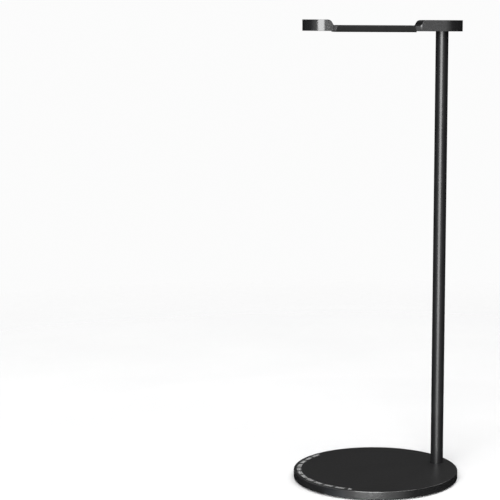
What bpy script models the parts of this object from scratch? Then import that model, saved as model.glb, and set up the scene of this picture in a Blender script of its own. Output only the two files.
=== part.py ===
"""Headphone stand: a weighted disc, a slim post near its rim, and a flat arm with a rubber saddle sleeve.

Metres, +Z up. The origin is the disc's centre on the surface the stand rests on. The post stands at +X.
The arm runs from it over the disc, towards -X and turned a little on the post towards +Y. The arm and its
sleeve are shaped along X first, symmetric about the XZ plane, and then turned.
"""

import math

import bmesh
import bpy
from mathutils import Matrix, Vector

MM = 0.001

# Disc and what is under it
DISC_RADIUS = 52.0 * MM
DISC_UNDERSIDE = 1.0 * MM
DISC_TOP = 5.75 * MM
DISC_EDGE_ROUND = 0.4 * MM
PAD_RECESS_RADIUS = 48.5 * MM
PAD_RECESS_CEILING = 1.9 * MM
FOOT_PAD_RADIUS = 48.2 * MM
FOOT_PAD_TOP = 1.2 * MM
FOOT_PAD_EDGE = 0.3 * MM
ADHESIVE_RADIUS = 47.6 * MM
ADHESIVE_LOW = 1.45 * MM
ADHESIVE_TOP = 1.65 * MM

# Post: a tube with a tapped plug pressed into each end
POST_X = 42.8 * MM
POST_RADIUS = 4.0 * MM
POST_BORE_RADIUS = 3.0 * MM
POST_END_CHAMFER = 0.2 * MM
SOCKET_RADIUS = 4.3 * MM
DISC_SOCKET_FLOOR = 4.85 * MM
PLUG_RADIUS = 2.8 * MM
PLUG_LENGTH = 14.0 * MM
PLUG_BORE_RADIUS = 2.25 * MM
PLUG_BORE_DEPTH = 11.5 * MM
FIT_GAP = 0.3 * MM

# Countersunk screw below, threaded stud above
SCREW_RADIUS = 2.0 * MM
SCREW_FACE = 2.05 * MM
SCREW_HEAD_RADIUS = 4.0 * MM
SCREW_HEAD_RIM = 0.25 * MM
SCREW_LENGTH = 13.0 * MM
SCREW_SOCKET_ACROSS = 2.5 * MM
SCREW_SOCKET_DEPTH = 1.5 * MM
CLEARANCE_HOLE_RADIUS = 2.3 * MM
STUD_LENGTH = 13.0 * MM
STUD_SOCKET_ACROSS = 2.0 * MM
STUD_SOCKET_DEPTH = 2.5 * MM
TIP_CHAMFER = 0.4 * MM

# Arm: a flat bar with round ends, its top milled down between the head and the tip
ARM_TURN = math.radians(-14.4)
STAND_HEIGHT = 288.5 * MM
ARM_THICKNESS = 6.9 * MM
ARM_HALF_WIDTH = 12.75 * MM
ARM_REACH = 87.4 * MM
ARM_EDGE_BREAK = 0.2 * MM
RECESS_DEPTH = 3.9 * MM
HEAD_RAMP_START = 11.8 * MM
HEAD_RAMP_END = 17.2 * MM
TIP_RAMP_START = 67.7 * MM
TIP_RAMP_END = 73.1 * MM
RAMP_TOP_ROUND = 3.0 * MM
RAMP_FOOT_ROUND = 2.6 * MM
ARM_SOCKET_DEPTH = 1.5 * MM
STUD_HOLE_DEPTH = 3.4 * MM

# Saddle sleeve: rubber, stretched around the milled part of the bar
SLEEVE_WALL = 0.6 * MM
SLEEVE_CLEARANCE = 0.05 * MM
SLEEVE_START = 19.2 * MM
SLEEVE_END = 67.0 * MM
SLEEVE_SLANT = 1.0 * MM
SLEEVE_ROUND = 0.8 * MM

ARM_UNDERSIDE = STAND_HEIGHT - ARM_THICKNESS
RECESS_FLOOR = STAND_HEIGHT - RECESS_DEPTH
POST_LOW = DISC_SOCKET_FLOOR + FIT_GAP
POST_TOP = ARM_UNDERSIDE + ARM_SOCKET_DEPTH - FIT_GAP

ROUND_SEGMENTS = 128
POST_SEGMENTS = 64
SCREW_SEGMENTS = 48
END_SEGMENTS = 48
ARC_STEPS = 6
SMOOTH_ANGLE = math.radians(30)


def clear_scene():
    for obj in list(bpy.data.objects):
        bpy.data.objects.remove(obj, do_unlink=True)


def make_material(name, colour, roughness, metallic):
    material = bpy.data.materials.new(name)
    material.use_nodes = True
    shader = material.node_tree.nodes["Principled BSDF"]
    shader.inputs["Base Color"].default_value = (*colour, 1.0)
    shader.inputs["Roughness"].default_value = roughness
    shader.inputs["Metallic"].default_value = metallic
    return material


def add_object(name, bm, material=None, smooth=True):
    """One named object from a bmesh, its faces pointing out."""
    bmesh.ops.recalc_face_normals(bm, faces=bm.faces)
    mesh = bpy.data.meshes.new(name)
    bm.to_mesh(mesh)
    bm.free()
    if smooth:
        mesh.shade_smooth()
        mesh.set_sharp_from_angle(angle=SMOOTH_ANGLE)
    if material:
        mesh.materials.append(material)
    obj = bpy.data.objects.new(name, mesh)
    bpy.context.scene.collection.objects.link(obj)
    return obj


def turned(profile, segments):
    """A closed body turned about Z from (radius, z) points that start and end on the axis."""
    bm = bmesh.new()
    rings = []
    for radius, z in profile:
        if radius == 0:
            rings.append([bm.verts.new((0, 0, z))])
            continue
        ring = []
        for i in range(segments):
            angle = 2 * math.pi * i / segments
            ring.append(bm.verts.new((radius * math.cos(angle), radius * math.sin(angle), z)))
        rings.append(ring)
    for low, high in zip(rings, rings[1:]):
        for i in range(segments):
            j = (i + 1) % segments
            corners = [low[i % len(low)], low[j % len(low)], high[j % len(high)], high[i % len(high)]]
            bm.faces.new(dict.fromkeys(corners))
    return bm


def turned_tube(profile, segments):
    """A closed ring-shaped body turned about Z from a closed loop of (radius, z) points."""
    bm = bmesh.new()
    rings = []
    for radius, z in profile:
        ring = []
        for i in range(segments):
            angle = 2 * math.pi * i / segments
            ring.append(bm.verts.new((radius * math.cos(angle), radius * math.sin(angle), z)))
        rings.append(ring)
    for k, low in enumerate(rings):
        high = rings[(k + 1) % len(rings)]
        for i in range(segments):
            j = (i + 1) % segments
            bm.faces.new((low[i], low[j], high[j], high[i]))
    return bm


def lofted(rings):
    """A closed body through rings of equally many points, with a flat face on the first and the last."""
    bm = bmesh.new()
    loops = [[bm.verts.new(point) for point in ring] for ring in rings]
    bm.faces.new(loops[0])
    bm.faces.new(loops[-1])
    count = len(loops[0])
    for low, high in zip(loops, loops[1:]):
        for i in range(count):
            j = (i + 1) % count
            bm.faces.new((low[i], low[j], high[j], high[i]))
    return bm


def arc(centre, radius, start, end, steps):
    """Points on an arc in a plane, its angles in degrees."""
    points = []
    for i in range(steps + 1):
        angle = math.radians(start + (end - start) * i / steps)
        points.append((centre[0] + radius * math.cos(angle), centre[1] + radius * math.sin(angle)))
    return points


def cut(obj, cutter):
    """Take the cutter's shape out of the object."""
    cutter.hide_render = True
    cutter.display_type = "WIRE"
    boolean = obj.modifiers.new("cut_" + cutter.name, "BOOLEAN")
    boolean.operation = "DIFFERENCE"
    boolean.solver = "EXACT"
    boolean.object = cutter


def hex_prism(name, across_flats, low, high):
    """A six-sided cutter along Z."""
    corner = across_flats / math.sqrt(3)
    rings = []
    for z in (low, high):
        rings.append([(*point, z) for point in arc((0, 0), corner, 0, 300, 5)])
    return add_object(name, lofted(rings), smooth=False)


def turned_on_post(bm):
    """Turn the arm's shapes about the post, to where the arm points."""
    turn = Matrix.Rotation(ARM_TURN, 3, "Z")
    bmesh.ops.rotate(bm, cent=(POST_X, 0, 0), matrix=turn, verts=bm.verts)
    return bm


def arm_outline(inset, z):
    """The bar's plan at one height: straight sides and a half circle at each end."""
    radius = ARM_HALF_WIDTH - inset
    head = arc((POST_X, 0), radius, -90, 90, END_SEGMENTS)
    tip = arc((POST_X - ARM_REACH + ARM_HALF_WIDTH, 0), radius, 90, 270, END_SEGMENTS)
    return [(x, y, z) for x, y in head + tip]


def ramp(start, end):
    """An S-shaped slope from the bar's top down to the recess floor, as (distance from the post, z)."""
    run = abs(end - start)
    side = 1 if end > start else -1
    rounds = RAMP_TOP_ROUND + RAMP_FOOT_ROUND
    # The slope at which the two rounds and the straight between them just span run and depth
    reach = math.hypot(run, RECESS_DEPTH - rounds)
    straight = math.sqrt(reach * reach - rounds * rounds)
    lean = math.atan2(RECESS_DEPTH - rounds, run) + math.atan2(rounds, straight)
    angle = math.degrees(lean)
    points = []
    for x, z in arc((0, STAND_HEIGHT - RAMP_TOP_ROUND), RAMP_TOP_ROUND, 90, 90 - angle, ARC_STEPS):
        points.append((start + side * x, z))
    foot = arc((run, RECESS_FLOOR + RAMP_FOOT_ROUND), RAMP_FOOT_ROUND, 270 - angle, 270, ARC_STEPS)
    for x, z in foot:
        points.append((start + side * x, z))
    return points


def make_base(materials):
    edge = DISC_EDGE_ROUND
    rim = arc((DISC_RADIUS - edge, DISC_TOP - edge), edge, 0, 90, ARC_STEPS)
    profile = [
        (0, PAD_RECESS_CEILING),
        (PAD_RECESS_RADIUS, PAD_RECESS_CEILING),
        (PAD_RECESS_RADIUS, DISC_UNDERSIDE),
        (DISC_RADIUS - edge, DISC_UNDERSIDE),
        (DISC_RADIUS, DISC_UNDERSIDE + edge),
        *rim,
        (0, DISC_TOP),
    ]
    disc = add_object("base_disc", turned(profile, ROUND_SEGMENTS), materials["satin_steel"])

    above = DISC_TOP + FIT_GAP
    below = PAD_RECESS_CEILING - FIT_GAP
    cone_top = SCREW_FACE + SCREW_HEAD_RIM + (SCREW_HEAD_RADIUS - SCREW_RADIUS)
    socket = [(0, DISC_SOCKET_FLOOR), (SOCKET_RADIUS, DISC_SOCKET_FLOOR), (SOCKET_RADIUS, above), (0, above)]
    mouth = SCREW_HEAD_RADIUS + FIT_GAP
    hole = [
        (0, below),
        (mouth, below),
        (mouth, SCREW_FACE + SCREW_HEAD_RIM),
        (CLEARANCE_HOLE_RADIUS, cone_top),
        (CLEARANCE_HOLE_RADIUS, above),
        (0, above),
    ]
    for name, shape, segments in (
        ("post_socket_cutter", socket, POST_SEGMENTS),
        ("screw_hole_cutter", hole, SCREW_SEGMENTS),
    ):
        cutter = add_object(name, turned(shape, segments), smooth=False)
        cutter.location.x = POST_X
        cut(disc, cutter)

    pad_profile = [
        (0, 0),
        (FOOT_PAD_RADIUS - FOOT_PAD_EDGE, 0),
        (FOOT_PAD_RADIUS, FOOT_PAD_EDGE),
        (FOOT_PAD_RADIUS, FOOT_PAD_TOP),
        (0, FOOT_PAD_TOP),
    ]
    add_object("foot_pad", turned(pad_profile, ROUND_SEGMENTS), materials["foot_rubber"])

    film = [(0, ADHESIVE_LOW), (ADHESIVE_RADIUS, ADHESIVE_LOW), (ADHESIVE_RADIUS, ADHESIVE_TOP), (0, ADHESIVE_TOP)]
    add_object("foot_pad_adhesive", turned(film, ROUND_SEGMENTS), materials["adhesive_film"])


def make_base_screw(materials):
    """Countersunk screw: its head faces down, its shank goes up into the lower plug."""
    cone_low = SCREW_FACE + SCREW_HEAD_RIM
    cone_top = cone_low + SCREW_HEAD_RADIUS - SCREW_RADIUS
    tip = SCREW_FACE + SCREW_LENGTH
    profile = [
        (0, SCREW_FACE),
        (SCREW_HEAD_RADIUS, SCREW_FACE),
        (SCREW_HEAD_RADIUS, cone_low),
        (SCREW_RADIUS, cone_top),
        (SCREW_RADIUS, tip - TIP_CHAMFER),
        (SCREW_RADIUS - TIP_CHAMFER, tip),
        (0, tip),
    ]
    screw = add_object("base_screw", turned(profile, SCREW_SEGMENTS), materials["screw_steel"])
    screw.location.x = POST_X
    drive = hex_prism(
        "screw_drive_cutter",
        SCREW_SOCKET_ACROSS,
        SCREW_FACE - FIT_GAP,
        SCREW_FACE + SCREW_SOCKET_DEPTH,
    )
    drive.location.x = POST_X
    cut(screw, drive)


def make_plug(name, mouth, direction, materials):
    """A plug pressed into the post, tapped from the face at mouth. direction is +1 when it runs up."""
    end = mouth + direction * PLUG_LENGTH
    bore_end = mouth + direction * PLUG_BORE_DEPTH
    profile = [
        (0, bore_end),
        (PLUG_BORE_RADIUS, bore_end),
        (PLUG_BORE_RADIUS, mouth),
        (PLUG_RADIUS - POST_END_CHAMFER, mouth),
        (PLUG_RADIUS, mouth + direction * POST_END_CHAMFER),
        (PLUG_RADIUS, end - direction * TIP_CHAMFER),
        (PLUG_RADIUS - TIP_CHAMFER, end),
        (0, end),
    ]
    plug = add_object(name, turned(profile, SCREW_SEGMENTS), materials["plug_steel"])
    plug.location.x = POST_X


def make_post(materials):
    bevel = POST_END_CHAMFER
    profile = [
        (POST_BORE_RADIUS, POST_LOW),
        (POST_RADIUS - bevel, POST_LOW),
        (POST_RADIUS, POST_LOW + bevel),
        (POST_RADIUS, POST_TOP - bevel),
        (POST_RADIUS - bevel, POST_TOP),
        (POST_BORE_RADIUS, POST_TOP),
    ]
    post = add_object("post_tube", turned_tube(profile, POST_SEGMENTS), materials["black_anodised"])
    post.location.x = POST_X
    make_plug("post_lower_plug", POST_LOW, 1, materials)
    make_plug("post_upper_plug", POST_TOP, -1, materials)


def make_arm_stud(materials):
    """Threaded stud: fixed in the arm, it draws the post up against the arm's socket."""
    top = ARM_UNDERSIDE + ARM_SOCKET_DEPTH + STUD_HOLE_DEPTH - FIT_GAP
    low = top - STUD_LENGTH
    profile = [
        (0, low),
        (SCREW_RADIUS - TIP_CHAMFER, low),
        (SCREW_RADIUS, low + TIP_CHAMFER),
        (SCREW_RADIUS, top - TIP_CHAMFER),
        (SCREW_RADIUS - TIP_CHAMFER, top),
        (0, top),
    ]
    stud = add_object("arm_stud", turned(profile, SCREW_SEGMENTS), materials["screw_steel"])
    stud.location.x = POST_X
    drive = hex_prism("stud_drive_cutter", STUD_SOCKET_ACROSS, low - FIT_GAP, low + STUD_SOCKET_DEPTH)
    drive.location.x = POST_X
    cut(stud, drive)


def make_arm(materials):
    rings = [
        arm_outline(ARM_EDGE_BREAK, ARM_UNDERSIDE),
        arm_outline(0, ARM_UNDERSIDE + ARM_EDGE_BREAK),
        arm_outline(0, STAND_HEIGHT - ARM_EDGE_BREAK),
        arm_outline(ARM_EDGE_BREAK, STAND_HEIGHT),
    ]
    arm = add_object("arm_bar", turned_on_post(lofted(rings)), materials["black_anodised"])

    above = STAND_HEIGHT + FIT_GAP
    section = [(HEAD_RAMP_START, above), *ramp(HEAD_RAMP_START, HEAD_RAMP_END)]
    section += [*reversed(ramp(TIP_RAMP_END, TIP_RAMP_START)), (TIP_RAMP_END, above)]
    reach = ARM_HALF_WIDTH + FIT_GAP
    recess = lofted([[(POST_X - s, y, z) for s, z in section] for y in (-reach, reach)])
    cut(arm, add_object("recess_cutter", turned_on_post(recess), smooth=False))

    below = ARM_UNDERSIDE - FIT_GAP
    ceiling = ARM_UNDERSIDE + ARM_SOCKET_DEPTH
    hole_end = ceiling + STUD_HOLE_DEPTH
    hole = [
        (0, below),
        (SOCKET_RADIUS, below),
        (SOCKET_RADIUS, ceiling),
        (CLEARANCE_HOLE_RADIUS, ceiling),
        (CLEARANCE_HOLE_RADIUS, hole_end),
        (0, hole_end),
    ]
    socket = add_object("arm_socket_cutter", turned(hole, POST_SEGMENTS), smooth=False)
    socket.location.x = POST_X
    cut(arm, socket)


def rounded_rectangle(half_width, low, high, radius, steps):
    """A rectangle in Y and Z with round corners, counterclockwise."""
    points = []
    for y, z, start in (
        (half_width - radius, low + radius, -90),
        (half_width - radius, high - radius, 0),
        (radius - half_width, high - radius, 90),
        (radius - half_width, low + radius, 180),
    ):
        points += arc((y, z), radius, start, start + 90, steps)
    return points


def make_sleeve(materials):
    """A thin tube of rubber around the bar. Its ends lean, so it is longer below than on top."""
    inner_half = ARM_HALF_WIDTH + SLEEVE_CLEARANCE
    inner_low = ARM_UNDERSIDE - SLEEVE_CLEARANCE
    inner_high = RECESS_FLOOR + SLEEVE_CLEARANCE
    outer_low = ARM_UNDERSIDE - SLEEVE_WALL
    outer_high = RECESS_FLOOR + SLEEVE_WALL
    outer = rounded_rectangle(ARM_HALF_WIDTH + SLEEVE_WALL, outer_low, outer_high, SLEEVE_ROUND, ARC_STEPS)
    inner = rounded_rectangle(inner_half, inner_low, inner_high, SLEEVE_CLEARANCE, ARC_STEPS)

    def placed(points, end):
        """The section's points on the leaning plane at one end, +1 at the tip's."""
        ring = []
        for y, z in points:
            below = (outer_high - z) / (outer_high - outer_low)
            s = SLEEVE_END if end > 0 else SLEEVE_START
            ring.append(Vector((POST_X - s - end * SLEEVE_SLANT * below, y, z)))
        return ring

    bm = bmesh.new()
    loops = []
    for points, end in ((outer, -1), (outer, 1), (inner, 1), (inner, -1)):
        loops.append([bm.verts.new(point) for point in placed(points, end)])
    count = len(outer)
    for k, low in enumerate(loops):
        high = loops[(k + 1) % len(loops)]
        for i in range(count):
            j = (i + 1) % count
            bm.faces.new((low[i], low[j], high[j], high[i]))
    add_object("saddle_sleeve", turned_on_post(bm), materials["sleeve_rubber"])


def main():
    clear_scene()
    materials = {
        "satin_steel": make_material("satin_steel", (0.030, 0.030, 0.031), 0.42, 0.6),
        "black_anodised": make_material("black_anodised", (0.022, 0.022, 0.024), 0.32, 0.8),
        "sleeve_rubber": make_material("sleeve_rubber", (0.028, 0.028, 0.028), 0.75, 0.0),
        "foot_rubber": make_material("foot_rubber", (0.018, 0.018, 0.018), 0.85, 0.0),
        "adhesive_film": make_material("adhesive_film", (0.75, 0.74, 0.70), 0.5, 0.0),
        "screw_steel": make_material("screw_steel", (0.45, 0.45, 0.46), 0.35, 1.0),
        "plug_steel": make_material("plug_steel", (0.55, 0.55, 0.56), 0.4, 1.0),
    }
    make_base(materials)
    make_base_screw(materials)
    make_post(materials)
    make_arm_stud(materials)
    make_arm(materials)
    make_sleeve(materials)


main()
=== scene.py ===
"""Looks of the headphone stand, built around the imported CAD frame.

The base and the post are symmetric about the XZ plane. The arm is shaped along -X and then turned on the
post. Distances called s are measured along the arm from the post's axis towards the tip. Everything is in
metres.
"""

import math

import bmesh
import bpy
from mathutils import Matrix, Vector


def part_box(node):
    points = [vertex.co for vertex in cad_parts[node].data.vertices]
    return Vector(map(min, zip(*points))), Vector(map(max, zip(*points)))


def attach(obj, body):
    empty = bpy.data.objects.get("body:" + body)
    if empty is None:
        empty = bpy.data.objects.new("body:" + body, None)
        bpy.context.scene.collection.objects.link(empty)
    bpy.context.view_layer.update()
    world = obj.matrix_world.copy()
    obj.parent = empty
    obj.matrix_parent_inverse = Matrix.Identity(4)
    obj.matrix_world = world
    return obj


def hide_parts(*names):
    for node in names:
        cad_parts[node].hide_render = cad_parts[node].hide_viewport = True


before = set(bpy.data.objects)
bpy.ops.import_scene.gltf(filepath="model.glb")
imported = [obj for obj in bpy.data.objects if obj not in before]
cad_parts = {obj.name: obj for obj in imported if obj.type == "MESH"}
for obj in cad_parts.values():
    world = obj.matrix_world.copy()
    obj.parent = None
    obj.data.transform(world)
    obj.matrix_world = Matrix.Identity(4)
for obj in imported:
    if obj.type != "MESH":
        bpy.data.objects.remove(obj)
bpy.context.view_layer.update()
MM = 0.001

ARM_LOW, ARM_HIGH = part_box("arm_bar")
POST_LOW, POST_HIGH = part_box("post_tube")
DISC_LOW, DISC_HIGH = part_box("base_disc")
PAD_LOW, PAD_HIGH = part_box("foot_pad")

POST_X = (POST_LOW[0] + POST_HIGH[0]) / 2
POST_RADIUS = (POST_HIGH[0] - POST_LOW[0]) / 2
DISC_RADIUS = (DISC_HIGH[0] - DISC_LOW[0]) / 2
PAD_RADIUS = (PAD_HIGH[0] - PAD_LOW[0]) / 2
# The head is centred on the post, and the tip touches the arm's box at -X and at +Y
HALF_WIDTH = ARM_HIGH[0] - POST_X
TIP_CENTRE = (ARM_LOW[0] + HALF_WIDTH, ARM_HIGH[1] - HALF_WIDTH)
ARM_TURN = -math.atan2(TIP_CENTRE[1], POST_X - TIP_CENTRE[0])
ARM_REACH = math.hypot(TIP_CENTRE[1], POST_X - TIP_CENTRE[0]) + HALF_WIDTH
ARM_TOP = ARM_HIGH[2]
ARM_BOTTOM = ARM_LOW[2]

# Arm, its ramps as the s of their two ends
RECESS_DEPTH = 3.9 * MM
HEAD_RAMP = (11.8 * MM, 17.2 * MM)
TIP_RAMP = (67.7 * MM, 73.1 * MM)
RAMP_TOP_ROUND = 3.0 * MM
RAMP_FOOT_ROUND = 2.6 * MM
ARM_EDGE_ROUND = 0.14 * MM
RECESS_FLOOR = ARM_TOP - RECESS_DEPTH

# Post
POST_WALL = 1.0 * MM
POST_EDGE_ROUND = 0.25 * MM

# Seats of the post, and the screw's way through the disc
SEAT_GAP = 0.12 * MM
SEAT_CHAMFER = 0.15 * MM
ARM_SEAT_DEPTH = 1.5 * MM
STUD_HOLE_RADIUS = 2.3 * MM
STUD_HOLE_DEPTH = 3.4 * MM
DISC_SEAT_FLOOR = 4.85 * MM
SCREW_HEAD_HOLE = 4.3 * MM

# Disc and foot pad. Faces whose normal is less upright than RIM_UPRIGHT belong to the turned rim, which gets
# a glossier finish and a lighter base tone; the lighter tone is painted light, so the sides read lighter than
# the top
DISC_EDGE_ROUND = 0.28 * MM
RIM_UPRIGHT = 0.8
PAD_RECESS_RADIUS = 48.5 * MM
PAD_RECESS_CEILING = 1.9 * MM
PAD_EDGE_ROUND = 0.35 * MM
PAD_GROOVE_PITCH = 6.0 * MM
PAD_GROOVE_WIDTH = 0.9 * MM
PAD_GROOVE_DEPTH = 0.3 * MM

# Print on the disc, its sweep in degrees from +X
PRINT_SWEEP = (118.0, 229.5)
PRINT_INSET = 3.3 * MM
PRINT_PITCH = 1.2 * MM
PRINT_GROUP = 7
PRINT_BLANKS = 2
PRINT_LONG = 2.8 * MM
PRINT_SHORT = 2.0 * MM
PRINT_STROKE = 0.5 * MM
PRINT_HEIGHT = 0.02 * MM

# Saddle sleeve
SLEEVE_ENDS = (19.2 * MM, 67.0 * MM)
SLEEVE_WALL = 0.6 * MM
SLEEVE_BORE_CLEARANCE = 0.05 * MM
SLEEVE_SLANT = 1.0 * MM
SLEEVE_CORNER = 1.0 * MM
SLEEVE_CROWN = 0.12 * MM
SLEEVE_LIP = 0.22 * MM

# Fineness of the meshes
MERGE_DISTANCE = 1e-7
DISC_SEGMENTS = 256
PAD_SEGMENTS = 192
POST_SEGMENTS = 128
SEAT_SEGMENTS = 96
SCREW_WAY_SEGMENTS = 48
ARM_END_STEPS = 48
RAMP_ROUND_STEPS = 16
EDGE_STEPS = 5
FINE_EDGE_STEPS = 4
SLEEVE_STEPS = 16
SLEEVE_CORNER_STEPS = 8
SLEEVE_FLAT_STEPS = 12

# Edges sharper than these stay sharp in the shading
SHARP_ANGLE = math.radians(32)
ARM_SHARP_ANGLE = math.radians(28)
SLEEVE_SHARP_ANGLE = math.radians(50)

# Heights of the finest grain on metal, rubber and paper
METAL_GRAIN = 0.03 * MM
RUBBER_PORES = 0.05 * MM
RUBBER_GRAIN = 0.04 * MM
INK_GRAIN = 0.02 * MM
PAPER_GRAIN = 0.1 * MM

# Floor
FLOOR_RADII = (0, 0.2, 0.5, 0.9)
FLOOR_SEGMENTS = 96
FLOOR_FADE_START = 0.3
FLOOR_FADE_WIDTH = 0.5

# What the camera sees behind the stand, and the room's light: its brightest direction as azimuth and
# elevation, the cosine at which it begins to rise, and its two levels
BACKDROP_LEVEL = 0.97
ROOM_FRONT = (-27, 5)
ROOM_RISE = 0.42
ROOM_DIM = 0.012
ROOM_BRIGHT = 1.0

# Soft boxes: azimuth, elevation, half angles across and upright in degrees, radiance and colour
LIGHT_DISTANCE = 4.0
LIGHT_TARGET = (0, 0, 0.2)
WHITE = (1, 1, 1)
COOL = (0.72, 0.84, 1.0)
SOFTBOXES = {
    "front_softbox": (-31.5, 13, (18.5, 27), 13.2, WHITE),
    "side_softbox": (-80, -34, (15, 13), 1.1, COOL),
    "side_panel": (-76, 16, (11, 13), 0.8, WHITE),
    "back_panel": (175, 30, (40, 18), 0.08, WHITE),
    "top_panel": (0, 72, (30, 20), 6.6, WHITE),
    "right_panel": (105, 42, (22, 16), 2.4, WHITE),
    "rear_panel": (-130, 45, (22, 16), 2.0, WHITE),
}

# The photograph's viewing angle: the place from the disc's centre on the floor, angles in radians
CAMERA_PLACE = (-0.3836, -0.9142, 0.2863)
CAMERA_HEADING = -0.3802
CAMERA_TILT = 0.1405
CAMERA_ROLL = 0.0051
CAMERA_LENS = 115.44
CAMERA_SENSOR = 36
CAMERA_NEAR = 0.01
# The stand's side view fits a picture that is centred right of the photograph's middle
CAMERA_SHIFT = -0.2


# ---------------------------------------------------------------- mesh helpers


def arc(centre, radius, start, end, steps):
    """Points on an arc in a plane, its angles in degrees."""
    points = []
    for i in range(steps + 1):
        angle = math.radians(start + (end - start) * i / steps)
        points.append((centre[0] + radius * math.cos(angle), centre[1] + radius * math.sin(angle)))
    return points


def new_object(name, bm):
    bmesh.ops.remove_doubles(bm, verts=bm.verts, dist=MERGE_DISTANCE)
    bmesh.ops.recalc_face_normals(bm, faces=bm.faces)
    mesh = bpy.data.meshes.new(name)
    bm.to_mesh(mesh)
    bm.free()
    obj = bpy.data.objects.new(name, mesh)
    bpy.context.scene.collection.objects.link(obj)
    return obj


def shade(obj, angle=SHARP_ANGLE):
    """Smooth shading with flat faces kept flat."""
    obj.data.shade_smooth()
    obj.data.set_sharp_from_angle(angle=angle)
    normals = obj.modifiers.new("weighted_normals", "WEIGHTED_NORMAL")
    normals.keep_sharp = True
    normals.weight = 100


def bridge(bm, low, high):
    """Faces between two closed loops of the same length."""
    count = len(low)
    for i in range(count):
        j = (i + 1) % count
        bm.faces.new((low[i], low[j], high[j], high[i]))


def turned(profile, segments):
    """A body turned about Z from (radius, z) points. Points at radius 0 close on the axis."""
    bm = bmesh.new()
    rings = []
    for radius, z in profile:
        if radius == 0:
            rings.append([bm.verts.new((0, 0, z))])
            continue
        ring = []
        for i in range(segments):
            angle = 2 * math.pi * i / segments
            ring.append(bm.verts.new((radius * math.cos(angle), radius * math.sin(angle), z)))
        rings.append(ring)
    for low, high in zip(rings, rings[1:]):
        for i in range(segments):
            j = (i + 1) % segments
            corners = [low[i % len(low)], low[j % len(low)], high[j % len(high)], high[i % len(high)]]
            bm.faces.new(dict.fromkeys(corners))
    return bm


def turned_on_post(bm):
    """Turn the arm's shapes about the post, to where the arm points."""
    turn = Matrix.Rotation(ARM_TURN, 3, "Z")
    bmesh.ops.rotate(bm, cent=(POST_X, 0, 0), matrix=turn, verts=bm.verts)
    return bm


def cut(obj, cutter):
    """Take the cutter's shape out of the object for good, and remove the cutter."""
    boolean = obj.modifiers.new("cut", "BOOLEAN")
    boolean.operation = "DIFFERENCE"
    boolean.solver = "EXACT"
    boolean.object = cutter
    graph = bpy.context.evaluated_depsgraph_get()
    mesh = bpy.data.meshes.new_from_object(obj.evaluated_get(graph))
    obj.modifiers.clear()
    old = obj.data
    obj.data = mesh
    mesh.name = obj.name
    bpy.data.meshes.remove(old)
    bpy.data.objects.remove(cutter)


def cut_round_hole(obj, profile, segments):
    """Cut a turned shape out of the object, on the post's axis."""
    cutter = new_object("cutter", turned(profile, segments))
    cutter.location.x = POST_X
    cut(obj, cutter)


# ---------------------------------------------------------------- materials


def grey(level, blue=1.0):
    """A grey whose blue may be a little stronger."""
    return (level, level, level * blue)


class Nodes:
    """A short way to write a material's node tree. Scales of noise are per metre."""

    def __init__(self, name):
        self.material = bpy.data.materials.new(name)
        self.material.use_nodes = True
        self.tree = self.material.node_tree
        self.shader = self.tree.nodes["Principled BSDF"]
        self.coords = self.add("ShaderNodeTexCoord").outputs["Object"]

    def add(self, kind):
        return self.tree.nodes.new(kind)

    def link(self, source, target):
        self.tree.links.new(source, target)

    def put(self, socket, value):
        """A constant, or a link from another node, into one of the shader's sockets."""
        if isinstance(value, bpy.types.NodeSocket):
            self.link(value, self.shader.inputs[socket])
        else:
            self.shader.inputs[socket].default_value = value

    def stretched(self, scale):
        """Object coordinates scaled differently along each axis."""
        node = self.add("ShaderNodeMapping")
        node.inputs["Scale"].default_value = scale
        self.link(self.coords, node.inputs["Vector"])
        return node.outputs["Vector"]

    def noise(self, scale, detail=2.0, roughness=0.5, vector=None):
        node = self.add("ShaderNodeTexNoise")
        node.inputs["Scale"].default_value = scale
        node.inputs["Detail"].default_value = detail
        node.inputs["Roughness"].default_value = roughness
        self.link(vector or self.coords, node.inputs["Vector"])
        return node.outputs["Fac"]

    def streaks(self, scales):
        """Noise with its own scale along each axis."""
        return self.noise(1.0, vector=self.stretched(scales))

    def voronoi(self, scale):
        node = self.add("ShaderNodeTexVoronoi")
        node.inputs["Scale"].default_value = scale
        self.link(self.coords, node.inputs["Vector"])
        return node.outputs["Distance"]

    def spread(self, value, low, high, start=0.3, end=0.7):
        """Maps the part of value between start and end onto low to high."""
        node = self.add("ShaderNodeMapRange")
        node.inputs["From Min"].default_value = start
        node.inputs["From Max"].default_value = end
        node.inputs["To Min"].default_value = low
        node.inputs["To Max"].default_value = high
        self.link(value, node.inputs["Value"])
        return node.outputs["Result"]

    def two_tone(self, value, dark, light, start=0.3, end=0.7):
        """A colour that goes from dark to light as value goes from start to end."""
        node = self.add("ShaderNodeValToRGB")
        for element, place, colour in zip(node.color_ramp.elements, (start, end), (dark, light)):
            element.position = place
            element.color = (*colour, 1.0)
        self.link(value, node.inputs["Fac"])
        return node.outputs["Color"]

    def bumps(self, layers):
        """Bump layers as (height, strength, distance), laid on each other."""
        below = None
        for height, strength, distance in layers:
            node = self.add("ShaderNodeBump")
            node.inputs["Strength"].default_value = strength
            node.inputs["Distance"].default_value = distance
            self.link(height, node.inputs["Height"])
            if below:
                self.link(below, node.inputs["Normal"])
            below = node.outputs["Normal"]
        self.put("Normal", below)


def black_metal(name, dark, light, roughness, grain, specular, drawn=None):
    """Black anodised aluminium: a fine blasted grain, and drawn lines where drawn gives their scale."""
    n = Nodes(name)
    cloud = n.noise(60, detail=3.0)
    n.put("Base Color", n.two_tone(cloud, grey(dark, 1.05), grey(light, 1.06), start=0.30, end=0.75))
    fine = n.noise(5200, roughness=0.6)
    layers = [(fine, grain, METAL_GRAIN)]
    if drawn:
        sheen = n.streaks(drawn)
        layers.append((sheen, grain * 0.8, METAL_GRAIN))
    else:
        sheen = n.noise(900, detail=3.0)
    n.put("Roughness", n.spread(sheen, roughness - 0.03, roughness + 0.04))
    n.bumps(layers)
    n.put("Specular IOR Level", specular)
    return n.material


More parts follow.
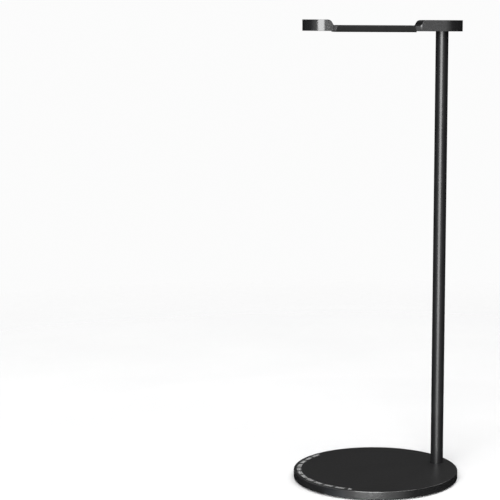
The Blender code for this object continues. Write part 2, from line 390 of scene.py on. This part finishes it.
def coated_steel(name, tone, roughness, specular):
    """Satin black coating with a fine even grain."""
    n = Nodes(name)
    cloud = n.noise(45, detail=4.0, roughness=0.55)
    n.put("Base Color", n.two_tone(cloud, grey(tone * 0.9, 1.03), grey(tone * 1.1, 1.03)))
    sheen = n.noise(500, detail=3.0)
    n.put("Roughness", n.spread(sheen, roughness - 0.02, roughness + 0.02))
    fine = n.noise(3600, roughness=0.6)
    n.bumps([(fine, 0.05, METAL_GRAIN)])
    n.put("Specular IOR Level", specular)
    return n.material


def moulded_rubber(name, dark, light):
    """Matte rubber with a fine moulded grain."""
    n = Nodes(name)
    cloud = n.noise(110, detail=4.0, roughness=0.55)
    n.put("Base Color", n.two_tone(cloud, grey(dark), grey(light)))
    n.put("Roughness", n.spread(n.noise(1300, detail=3.0), 0.50, 0.62))
    pores = n.voronoi(2300)
    fine = n.noise(4200, roughness=0.6)
    n.bumps([(pores, 0.3, RUBBER_PORES), (fine, 0.24, RUBBER_GRAIN)])
    n.put("Specular IOR Level", 0.06)
    return n.material


def print_ink(name, dark, light):
    """Flat ink, slightly uneven."""
    n = Nodes(name)
    n.put("Base Color", n.two_tone(n.noise(900, detail=3.0), grey(dark), grey(light)))
    n.put("Roughness", n.spread(n.noise(2000), 0.45, 0.6))
    n.bumps([(n.noise(5000), 0.15, INK_GRAIN)])
    return n.material


def plated_steel(name, tone):
    """Bare or plated steel with turning marks."""
    n = Nodes(name)
    light = [c * 1.25 for c in tone]
    n.put("Base Color", n.two_tone(n.noise(700, detail=3.0), tone, light))
    n.put("Metallic", 1.0)
    n.put("Roughness", n.spread(n.noise(1600, detail=3.0), 0.26, 0.42))
    n.bumps([(n.streaks((300, 300, 9000)), 0.25, METAL_GRAIN)])
    return n.material


def adhesive_film(name, dark, light):
    n = Nodes(name)
    n.put("Base Color", n.two_tone(n.noise(300, detail=4.0), dark, light))
    n.put("Roughness", n.spread(n.noise(900), 0.35, 0.55))
    n.bumps([(n.noise(1200, detail=3.0), 0.2, METAL_GRAIN)])
    return n.material


def pale_floor(name, dark, light):
    """Pale matte paper that fades out well away from the stand."""
    n = Nodes(name)
    n.put("Base Color", n.two_tone(n.noise(7, detail=3.0), dark, light))
    n.put("Roughness", n.spread(n.noise(400), 0.85, 0.95))
    n.put("Specular IOR Level", 0.1)
    n.bumps([(n.noise(900, detail=3.0), 0.05, PAPER_GRAIN)])
    length = n.add("ShaderNodeVectorMath")
    length.operation = "LENGTH"
    n.link(n.coords, length.inputs[0])
    fade_end = FLOOR_FADE_START + FLOOR_FADE_WIDTH
    n.put("Alpha", n.spread(length.outputs["Value"], 1.0, 0.0, FLOOR_FADE_START, fade_end))
    return n.material


# ---------------------------------------------------------------- base


def make_disc(flat, rim):
    """The disc, its flat faces in one finish and its turned rim in a glossier one. The rim's lighter base
    tone is painted light: it is the same black coating, painted lighter on the sides than on the top.
    """
    edge = DISC_EDGE_ROUND
    low = DISC_LOW[2]
    high = DISC_HIGH[2]
    profile = [(0, PAD_RECESS_CEILING), (PAD_RECESS_RADIUS, PAD_RECESS_CEILING), (PAD_RECESS_RADIUS, low)]
    profile += arc((DISC_RADIUS - edge, low + edge), edge, -90, 0, EDGE_STEPS)
    profile += arc((DISC_RADIUS - edge, high - edge), edge, 0, 90, EDGE_STEPS)
    profile.append((0, high))
    disc = new_object("weighted_disc", turned(profile, DISC_SEGMENTS))

    seat = POST_RADIUS + SEAT_GAP
    above = high + SEAT_CHAMFER
    socket = [
        (0, DISC_SEAT_FLOOR),
        (seat, DISC_SEAT_FLOOR),
        (seat, high - SEAT_CHAMFER),
        (seat + 2 * SEAT_CHAMFER, above),
        (0, above),
    ]
    neck = SCREW_HEAD_HOLE - STUD_HOLE_RADIUS
    screw_way = [
        (0, PAD_RECESS_CEILING - SEAT_CHAMFER),
        (SCREW_HEAD_HOLE, PAD_RECESS_CEILING - SEAT_CHAMFER),
        (SCREW_HEAD_HOLE, PAD_RECESS_CEILING + 2 * SEAT_CHAMFER),
        (STUD_HOLE_RADIUS, PAD_RECESS_CEILING + 2 * SEAT_CHAMFER + neck),
        (STUD_HOLE_RADIUS, above),
        (0, above),
    ]
    cut_round_hole(disc, socket, SEAT_SEGMENTS)
    cut_round_hole(disc, screw_way, SCREW_WAY_SEGMENTS)
    disc.data.materials.clear()
    disc.data.materials.append(flat)
    disc.data.materials.append(rim)
    for face in disc.data.polygons:
        # Faces that are less upright take the rim material, whose lighter tone is painted light on the sides
        face.material_index = 1 if abs(face.normal.z) < RIM_UPRIGHT else 0
    shade(disc)
    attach(disc, "root")
    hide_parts("base_disc")


def make_foot_pad(material):
    """Rubber disc with shallow rings moulded into its underside for grip."""
    edge = PAD_EDGE_ROUND
    low = PAD_LOW[2]
    profile = [(0, low)]
    radius = PAD_GROOVE_PITCH
    half = PAD_GROOVE_WIDTH / 2
    depth = PAD_GROOVE_DEPTH
    while radius < PAD_RADIUS - PAD_GROOVE_PITCH / 2:
        for offset, rise in ((-half, 0), (-half / 2, depth), (half / 2, depth), (half, 0)):
            profile.append((radius + offset, low + rise))
        radius += PAD_GROOVE_PITCH
    profile += arc((PAD_RADIUS - edge, low + edge), edge, -90, 0, EDGE_STEPS)
    profile += [(PAD_RADIUS, PAD_HIGH[2]), (0, PAD_HIGH[2])]
    pad = new_object("grip_pad", turned(profile, PAD_SEGMENTS))
    pad.data.materials.append(material)
    shade(pad)
    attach(pad, "root")
    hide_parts("foot_pad")


def make_print(material):
    """A plain printed scale along the disc's edge, opposite the post.

    Its strokes stand in groups, long and short in turn, with blanks between the groups. Each is a thin box
    that starts just inside the disc.
    """
    start, end = math.radians(PRINT_SWEEP[0]), math.radians(PRINT_SWEEP[1])
    radius = DISC_RADIUS - PRINT_INSET
    count = int((end - start) * radius / PRINT_PITCH)
    bm = bmesh.new()
    low = DISC_HIGH[2] - PRINT_HEIGHT / 4
    high = DISC_HIGH[2] + PRINT_HEIGHT
    for i in range(count + 1):
        place = i % PRINT_GROUP
        if place >= PRINT_GROUP - PRINT_BLANKS:
            continue
        angle = start + (end - start) * i / count
        reach = PRINT_LONG if place % 2 == 0 else PRINT_SHORT
        outward = Vector((math.cos(angle), math.sin(angle), 0))
        along = Vector((-math.sin(angle), math.cos(angle), 0))
        corners = []
        for z in (low, high):
            for a, b in ((-1, -1), (1, -1), (1, 1), (-1, 1)):
                point = outward * (radius + b * reach / 2) + along * (a * PRINT_STROKE / 2)
                corners.append(bm.verts.new((point.x, point.y, z)))
        bm.faces.new(corners[:4])
        bm.faces.new(corners[4:])
        bridge(bm, corners[:4], corners[4:])
    marks = new_object("edge_scale_print", bm)
    marks.data.materials.append(material)
    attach(marks, "root")


# ---------------------------------------------------------------- post


def make_post(material):
    """An open tube with its outer edges broken."""
    inner = POST_RADIUS - POST_WALL
    edge = POST_EDGE_ROUND
    low = POST_LOW[2]
    high = POST_HIGH[2]
    profile = [(inner, low)]
    profile += arc((POST_RADIUS - edge, low + edge), edge, -90, 0, FINE_EDGE_STEPS)
    profile += arc((POST_RADIUS - edge, high - edge), edge, 0, 90, FINE_EDGE_STEPS)
    profile += [(inner, high), (inner, low)]
    post = new_object("slim_post", turned(profile, POST_SEGMENTS))
    for vertex in post.data.vertices:
        vertex.co.x += POST_X
    post.data.materials.append(material)
    shade(post)
    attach(post, "root")
    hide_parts("post_tube")


# ---------------------------------------------------------------- arm


def ramp(start, end):
    """An S-shaped slope from the bar's top down to the recess floor, as (s, z)."""
    run = abs(end - start)
    side = 1 if end > start else -1
    rounds = RAMP_TOP_ROUND + RAMP_FOOT_ROUND
    # The slope at which the two rounds and the straight between them just span run and depth
    reach = math.hypot(run, RECESS_DEPTH - rounds)
    straight = math.sqrt(reach * reach - rounds * rounds)
    angle = math.degrees(math.atan2(RECESS_DEPTH - rounds, run) + math.atan2(rounds, straight))
    top_centre = (0, ARM_TOP - RAMP_TOP_ROUND)
    foot_centre = (run, RECESS_FLOOR + RAMP_FOOT_ROUND)
    top = arc(top_centre, RAMP_TOP_ROUND, 90, 90 - angle, RAMP_ROUND_STEPS)
    foot = arc(foot_centre, RAMP_FOOT_ROUND, 270 - angle, 270, RAMP_ROUND_STEPS)
    return [(start + side * x, z) for x, z in top + foot]


def top_stations():
    """The bar's top line from the head's round end to the tip's, as (s, half width, z, normal along s)."""
    stations = []
    tip_centre = ARM_REACH - HALF_WIDTH
    for i in range(ARM_END_STEPS + 1):
        angle = math.pi / 2 * i / ARM_END_STEPS
        s = -HALF_WIDTH * math.cos(angle)
        stations.append((s, HALF_WIDTH * math.sin(angle), ARM_TOP, -math.cos(angle)))
    line = ramp(*HEAD_RAMP) + list(reversed(ramp(TIP_RAMP[1], TIP_RAMP[0])))
    for s, z in line:
        stations.append((s, HALF_WIDTH, z, 0.0))
    for i in range(ARM_END_STEPS + 1):
        angle = math.pi / 2 * (1 - i / ARM_END_STEPS)
        s = tip_centre + HALF_WIDTH * math.cos(angle)
        stations.append((s, HALF_WIDTH * math.sin(angle), ARM_TOP, math.cos(angle)))
    return stations


def make_arm(material):
    """The bar with rounded edges and the post's seat.

    It is built in rings from the underside to the top, each with a row along either side, and the first and
    last ring are closed by flat strips across.
    """
    stations = top_stations()
    edge = ARM_EDGE_ROUND
    levels = []
    for x, z in arc((-edge, edge), edge, -90, 0, FINE_EDGE_STEPS):
        levels.append((-x, "low", z))
    for x, z in arc((-edge, -edge), edge, 0, 90, FINE_EDGE_STEPS):
        levels.append((-x, "high", z))
    bm = bmesh.new()
    rings = []
    for inset, anchor, rise in levels:
        sides = []
        for side in (1, -1):
            row = []
            for s, half, z, lean in stations:
                across = math.sqrt(max(0.0, 1 - lean * lean))
                x = POST_X - (s - inset * lean)
                y = side * max(0.0, half - inset * across)
                height = ARM_BOTTOM + rise if anchor == "low" else z + rise
                row.append(bm.verts.new((x, y, height)))
            sides.append(row)
        rings.append(sides)
    for low, high in zip(rings, rings[1:]):
        for side in (0, 1):
            for i in range(len(stations) - 1):
                bm.faces.new((low[side][i], low[side][i + 1], high[side][i + 1], high[side][i]))
    for ring in (rings[0], rings[-1]):
        for i in range(len(stations) - 1):
            bm.faces.new((ring[0][i], ring[0][i + 1], ring[1][i + 1], ring[1][i]))
    bmesh.ops.remove_doubles(bm, verts=bm.verts, dist=MERGE_DISTANCE)
    bmesh.ops.dissolve_degenerate(bm, edges=bm.edges, dist=MERGE_DISTANCE)
    arm = new_object("milled_arm", turned_on_post(bm))

    seat = POST_RADIUS + SEAT_GAP
    ceiling = ARM_BOTTOM + ARM_SEAT_DEPTH
    hole = [
        (0, ARM_BOTTOM - SEAT_CHAMFER),
        (seat + 2 * SEAT_CHAMFER, ARM_BOTTOM - SEAT_CHAMFER),
        (seat, ARM_BOTTOM + SEAT_CHAMFER),
        (seat, ceiling),
        (STUD_HOLE_RADIUS, ceiling),
        (STUD_HOLE_RADIUS, ceiling + STUD_HOLE_DEPTH),
        (0, ceiling + STUD_HOLE_DEPTH),
    ]
    cut_round_hole(arm, hole, SEAT_SEGMENTS)
    arm.data.materials.clear()
    arm.data.materials.append(material)
    shade(arm, ARM_SHARP_ANGLE)
    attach(arm, "root")
    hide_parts("arm_bar")


# ---------------------------------------------------------------- saddle sleeve


def rounded_section(half, low, high, corner, crown=0.0):
    """A rectangle in Y and Z with round corners and a slightly crowned top, counterclockwise."""
    points = []
    for y, z, start in (
        (half - corner, low + corner, -90),
        (half - corner, high - corner, 0),
        (corner - half, high - corner, 90),
        (corner - half, low + corner, 180),
    ):
        points += arc((y, z), corner, start, start + 90, SLEEVE_CORNER_STEPS)
    # The long flats are divided, so that the crown can bend them
    divided = []
    count = len(points)
    for i in range(count):
        y0, z0 = points[i]
        y1, z1 = points[(i + 1) % count]
        divided.append((y0, z0))
        if abs(y1 - y0) > half / 2:
            for k in range(1, SLEEVE_FLAT_STEPS):
                y = y0 + (y1 - y0) * k / SLEEVE_FLAT_STEPS
                z = z0 + (z1 - z0) * k / SLEEVE_FLAT_STEPS
                divided.append((y, z))
    crowned = []
    middle = (low + high) / 2
    for y, z in divided:
        share = max(0.0, (z - middle) / (high - middle))
        crowned.append((y, z - crown * share * (y / half) ** 2))
    return crowned


def make_sleeve(material):
    """Moulded rubber tube around the bar, with round lips and ends that lean out below.

    It is built in rings along the arm, from the bore's end at the head, over the outside, to the bore's end
    at the tip and back. An end is -1 at the head and 1 at the tip.
    """
    low, high = ARM_BOTTOM - SLEEVE_WALL, RECESS_FLOOR + SLEEVE_WALL
    half = HALF_WIDTH + SLEEVE_WALL
    ends = {-1: SLEEVE_ENDS[0], 1: SLEEVE_ENDS[1]}

    def outline(inset):
        return rounded_section(half - inset, low + inset, high - inset, SLEEVE_CORNER - inset, SLEEVE_CROWN)

    def on_plane(points, end, inward):
        ring = []
        for y, z in points:
            below = (high - z) / (high - low)
            s = ends[end] + end * (SLEEVE_SLANT * below - inward)
            ring.append((POST_X - s, y, z))
        return ring

    clear = SLEEVE_BORE_CLEARANCE
    bore = rounded_section(HALF_WIDTH + clear, ARM_BOTTOM - clear, RECESS_FLOOR + clear, ARM_EDGE_ROUND)
    lip = SLEEVE_LIP
    rings = [on_plane(bore, -1, 0)]
    for a, b in arc((0, 0), lip, 180, 90, EDGE_STEPS):
        rings.append(on_plane(outline(lip - b), -1, lip + a))
    start_ring = on_plane(outline(0), -1, lip)
    end_ring = on_plane(outline(0), 1, lip)
    for i in range(1, SLEEVE_STEPS):
        t = i / SLEEVE_STEPS
        rings.append([tuple(Vector(p).lerp(Vector(q), t)) for p, q in zip(start_ring, end_ring)])
    for a, b in arc((0, 0), lip, 90, 180, EDGE_STEPS):
        rings.append(on_plane(outline(lip - b), 1, lip + a))
    rings.append(on_plane(bore, 1, 0))

    bm = bmesh.new()
    loops = [[bm.verts.new(point) for point in ring] for ring in rings]
    for k, loop in enumerate(loops):
        bridge(bm, loop, loops[(k + 1) % len(loops)])
    sleeve = new_object("rubber_saddle", turned_on_post(bm))
    sleeve.data.materials.append(material)
    shade(sleeve, SLEEVE_SHARP_ANGLE)
    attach(sleeve, "root")
    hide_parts("saddle_sleeve")


# ---------------------------------------------------------------- inner pieces


def dress(node, material):
    """Give a CAD node that stays its own material."""
    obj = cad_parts[node]
    if not obj.material_slots:
        obj.data.materials.append(material)
    for slot in obj.material_slots:
        slot.material = material


# ---------------------------------------------------------------- studio


def direction(azimuth, elevation):
    """Towards a place round the stand. Azimuth 0 is at -Y and 90 at +X."""
    a, e = math.radians(azimuth), math.radians(elevation)
    return Vector((math.sin(a) * math.cos(e), -math.cos(a) * math.cos(e), math.sin(e)))


def softbox(name, azimuth, elevation, half_angles, radiance, colour):
    """A rectangular light that faces the stand and that no camera ray sees."""
    light = bpy.data.lights.new(name, "AREA")
    light.shape = "RECTANGLE"
    across, upright = [2 * LIGHT_DISTANCE * math.tan(math.radians(half)) for half in half_angles]
    light.size = across
    light.size_y = upright
    light.energy = radiance * math.pi * light.size * light.size_y
    light.color = colour
    obj = bpy.data.objects.new(name, light)
    bpy.context.scene.collection.objects.link(obj)
    obj.location = Vector(LIGHT_TARGET) + direction(azimuth, elevation) * LIGHT_DISTANCE
    aim = Vector(LIGHT_TARGET) - obj.location
    obj.rotation_euler = aim.to_track_quat("-Z", "Y").to_euler()
    obj.visible_camera = False


def make_world():
    """Pale where the camera sees it. As light, a dim room that is a little brighter in front of the stand."""
    world = bpy.data.worlds.new("studio")
    bpy.context.scene.world = world
    world.use_nodes = True
    tree = world.node_tree
    tree.nodes.clear()
    out = tree.nodes.new("ShaderNodeOutputWorld")
    mix = tree.nodes.new("ShaderNodeMixShader")
    paths = tree.nodes.new("ShaderNodeLightPath")
    seen = tree.nodes.new("ShaderNodeBackground")
    room = tree.nodes.new("ShaderNodeBackground")
    coords = tree.nodes.new("ShaderNodeTexCoord")
    front = tree.nodes.new("ShaderNodeVectorMath")
    front.operation = "DOT_PRODUCT"
    front.inputs[1].default_value = direction(*ROOM_FRONT)
    level = tree.nodes.new("ShaderNodeMapRange")
    level.interpolation_type = "SMOOTHSTEP"
    level.inputs["From Min"].default_value = ROOM_RISE
    level.inputs["From Max"].default_value = 1.0
    level.inputs["To Min"].default_value = ROOM_DIM
    level.inputs["To Max"].default_value = ROOM_BRIGHT
    seen.inputs["Color"].default_value = (*grey(BACKDROP_LEVEL), 1)
    room.inputs["Color"].default_value = (*WHITE, 1)
    tree.links.new(coords.outputs["Generated"], front.inputs[0])
    tree.links.new(front.outputs["Value"], level.inputs["Value"])
    tree.links.new(level.outputs["Result"], room.inputs["Strength"])
    tree.links.new(paths.outputs["Is Camera Ray"], mix.inputs["Fac"])
    tree.links.new(room.outputs[0], mix.inputs[1])
    tree.links.new(seen.outputs[0], mix.inputs[2])
    tree.links.new(mix.outputs[0], out.inputs["Surface"])


def make_studio():
    floor = new_object("studio_floor", turned([(radius, 0) for radius in FLOOR_RADII], FLOOR_SEGMENTS))
    floor.data.materials.append(pale_floor("pale_paper", (0.44, 0.44, 0.442), grey(0.46)))
    # The glossy black shows the lights, not a white floor
    floor.visible_glossy = False
    floor.visible_shadow = False
    make_world()
    for name, settings in SOFTBOXES.items():
        softbox(name, *settings)


def make_camera():
    heading, tilt, roll = CAMERA_HEADING, CAMERA_TILT, CAMERA_ROLL
    flat_reach = math.cos(tilt)
    forward = Vector((-math.sin(heading) * flat_reach, math.cos(heading) * flat_reach, -math.sin(tilt)))
    level = Vector((math.cos(heading), math.sin(heading), 0))
    upright = level.cross(forward)
    right = level * math.cos(roll) + upright * math.sin(roll)
    up = upright * math.cos(roll) - level * math.sin(roll)
    data = bpy.data.cameras.new("camera")
    data.sensor_width = CAMERA_SENSOR
    data.lens = CAMERA_LENS
    data.shift_x = CAMERA_SHIFT
    data.dof.use_dof = False
    data.clip_start = CAMERA_NEAR
    camera = bpy.data.objects.new("camera", data)
    bpy.context.scene.collection.objects.link(camera)
    turn = Matrix((right, up, -forward)).transposed().to_4x4()
    camera.matrix_world = Matrix.Translation(CAMERA_PLACE) @ turn
    bpy.context.scene.camera = camera


def main():
    bpy.context.scene.view_settings.view_transform = "Standard"
    make_camera()
    make_studio()
    flat = coated_steel("satin_black_coating", tone=0.0047, roughness=0.40, specular=0.38)
    # The rim's tone 0.0060 against the top's 0.0047 is painted light, the same coating made lighter on the
    # sides; its lower roughness and higher specular are the real glossier finish
    rim = coated_steel("glossy_rim_painted_lighter", tone=0.0060, roughness=0.17, specular=0.90)
    make_disc(flat, rim)
    make_foot_pad(moulded_rubber("foot_rubber", dark=0.010, light=0.016))
    make_print(print_ink("grey_ink", dark=0.25, light=0.35))
    post = black_metal(
        "post_anodising", dark=0.0045, light=0.0068, roughness=0.28, grain=0.08, specular=0.38,
        drawn=(1500, 1500, 40),
    )
    make_post(post)
    arm = black_metal(
        "arm_anodising", dark=0.005, light=0.0072, roughness=0.18, grain=0.05, specular=0.56,
    )
    make_arm(arm)
    make_sleeve(moulded_rubber("saddle_rubber", dark=0.0044, light=0.0064))
    zinc = plated_steel("zinc_plate", (0.42, 0.42, 0.44))
    bare = plated_steel("turned_steel", grey(0.50))
    dress("base_screw", zinc)
    dress("arm_stud", zinc)
    dress("post_lower_plug", bare)
    dress("post_upper_plug", bare)
    film = adhesive_film("adhesive_film", dark=(0.62, 0.60, 0.54), light=(0.74, 0.72, 0.66))
    dress("foot_pad_adhesive", film)


main()
